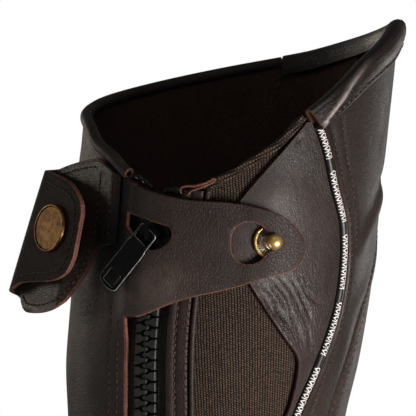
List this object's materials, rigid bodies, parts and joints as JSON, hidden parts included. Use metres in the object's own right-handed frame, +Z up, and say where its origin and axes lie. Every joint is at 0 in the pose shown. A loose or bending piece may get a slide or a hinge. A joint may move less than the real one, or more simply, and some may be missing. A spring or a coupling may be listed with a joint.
{
  "type": "leather riding gaiter",
  "caption": "Right-leg leather riding gaiter (half chap) with a back zip, elastic panel, high outer top, strap on a ball stud and a snapped tab.",
  "frame": {"origin": "on the axis of the wearer's lower leg at the calf, 330 mm above the back of the hem", "axes": "+Z up the leg, +Y towards the zip at the back, -X towards the high outer side"},
  "size_m": [0.1276, 0.1207, 0.4628],
  "materials": {
    "brown_leather": "smooth dark brown leather, soft sheen, raw reddish edges",
    "woven_elastic": "ribbed dark brown elastic with tan flecks",
    "printed_piping": "black coated piping with small pale marks",
    "zip_tape": "black woven zip tape",
    "zip_plastic": "black moulded zip plastic",
    "zip_metal": "gloss black painted metal",
    "polished_brass": "polished brass",
    "aged_brass": "antique brass with a dark patina"
  },
  "bodies": {
    "gaiter": {"inner_panel": "brown_leather", "outer_panel": "brown_leather", "front_panel": "brown_leather", "stud_patch": "brown_leather", "elastic_panel": "woven_elastic", "elastic_top_band": "woven_elastic", "piping": "printed_piping", "collar_band": "brown_leather", "collar_roll": "brown_leather", "zip_strip": "brown_leather", "zip_welt": "brown_leather", "zip_tape_left": "zip_tape", "zip_tape_right": "zip_tape", "zip_chain_left": "zip_plastic", "zip_chain_right": "zip_plastic", "zip_slider": "zip_metal", "zip_top_loop_left": "zip_tape", "zip_top_loop_right": "zip_tape", "zip_bottom_stop": "zip_plastic", "ball_stud": "polished_brass", "snap_tab": "brown_leather", "snap_cap": "aged_brass", "snap_socket": "aged_brass"},
    "pull_tab": {"pull_tab": "zip_metal"}
  },
  "joints": [
    {"name": "pull_tab_hinge", "type": "hinge", "parent": "gaiter", "child": "pull_tab", "pos_m": [-0.00444, 0.05959, 0.0457], "axis": [0.7313, -0.0096, 0.682], "range_deg": [0, 100]}
  ]
}
